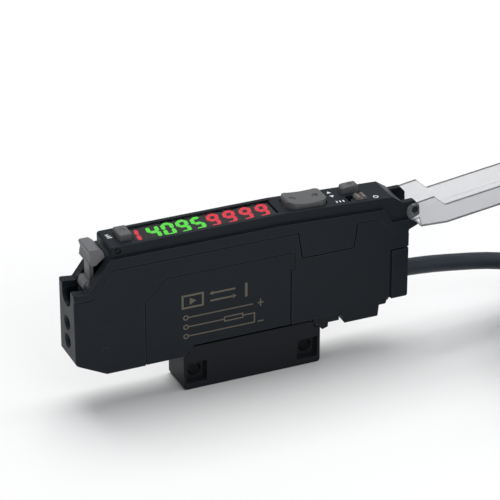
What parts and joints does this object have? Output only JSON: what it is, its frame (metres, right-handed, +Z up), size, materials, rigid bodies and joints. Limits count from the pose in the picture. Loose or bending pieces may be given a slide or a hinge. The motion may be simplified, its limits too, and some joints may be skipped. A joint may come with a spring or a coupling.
{
  "type": "fibre optic sensor amplifier",
  "caption": "Slim rail-mounted fibre optic sensor amplifier: digital display, keys, slide switch, fibre lock lever, swing-open dust cover, cable and clip-in bracket.",
  "frame": {"origin": "middle of the mounting bracket's underside", "axes": "+X along the case towards the cable end, +Y across its thickness, +Z up"},
  "size_m": [0.1562, 0.0714, 0.043],
  "materials": {
    "black_case": "finely textured black moulding",
    "black_bracket": "satin black moulding",
    "clear_cover": "clear plastic with a light smoke tint, polished",
    "grey_lever": "satin grey moulding",
    "inner_plastic": "plain black moulding",
    "device_plastic": "clear tinted resin",
    "smoked_window": "polished smoked window",
    "lit_green": "lit segments",
    "lit_red": "lit segments",
    "circuit_board": "green solder resist",
    "contact_metal": "tinned metal",
    "grey_key": "satin grey key",
    "knob_plastic": "satin warm grey knob",
    "core_plastic": "insulated cores",
    "cable_rubber": "satin black sheath",
    "tie_plastic": "natural nylon"
  },
  "bodies": {
    "case": {"lower_case": "black_case", "upper_case": "black_case", "end_block": "black_case", "mounting_bracket": "black_bracket", "fibre_clamp": "inner_plastic", "optical_block": "inner_plastic", "emitter": "device_plastic", "photodiode": "device_plastic", "display_window": "smoked_window", "display_module": "inner_plastic", "green_digits": "lit_green", "red_digits": "lit_red", "display_board": "circuit_board", "main_board": "circuit_board", "board_link": "contact_metal", "set_switch": "inner_plastic", "rocker_switches": "inner_plastic", "mode_switch": "inner_plastic", "slide_switch": "contact_metal", "inner_wires": "core_plastic", "cable_bush": "cable_rubber", "cable": "cable_rubber", "cable_coil": "cable_rubber", "coil_tie": "tie_plastic", "cable_cores": "core_plastic"},
    "cover": {"dust_cover": "clear_cover"},
    "lever": {"fibre_lock_lever": "grey_lever"},
    "set_key": {"set_button": "grey_key"},
    "rocker_key": {"rocker_button": "grey_key"},
    "mode_key": {"mode_button": "grey_key"},
    "switch_knob": {"slide_knob": "knob_plastic"},
    "claw": {"rail_claw": "black_bracket"}
  },
  "joints": [
    {"name": "cover_hinge", "type": "hinge", "parent": "case", "child": "cover", "pos_m": [0.039, 0, 0.0336], "axis": [0, 1, 0], "range_deg": [-170, 0]},
    {"name": "lever_hinge", "type": "hinge", "parent": "case", "child": "lever", "pos_m": [-0.0367, 0, 0.02945], "axis": [0, 1, 0], "range_deg": [-75, 0]},
    {"name": "set_press", "type": "slide", "parent": "case", "child": "set_key", "axis": [0, 0, 1], "range_m": [-0.0004, 0], "stiffness_N_per_m": 1500},
    {"name": "mode_press", "type": "slide", "parent": "case", "child": "mode_key", "axis": [0.0471, 0, 0.9989], "range_m": [-0.0004, 0], "stiffness_N_per_m": 1500},
    {"name": "rocker_tilt", "type": "hinge", "parent": "case", "child": "rocker_key", "pos_m": [0.014, 0, 0.03642], "axis": [0, 1, 0], "range_deg": [-2.5, 2.5], "stiffness_Nm_per_rad": 0.05},
    {"name": "knob_slide", "type": "slide", "parent": "case", "child": "switch_knob", "axis": [0.9989, 0, -0.0471], "range_m": [-0.0019, 0]},
    {"name": "claw_slide", "type": "slide", "parent": "case", "child": "claw", "axis": [1, 0, 0], "range_m": [0, 0.0006], "stiffness_N_per_m": 3000}
  ]
}
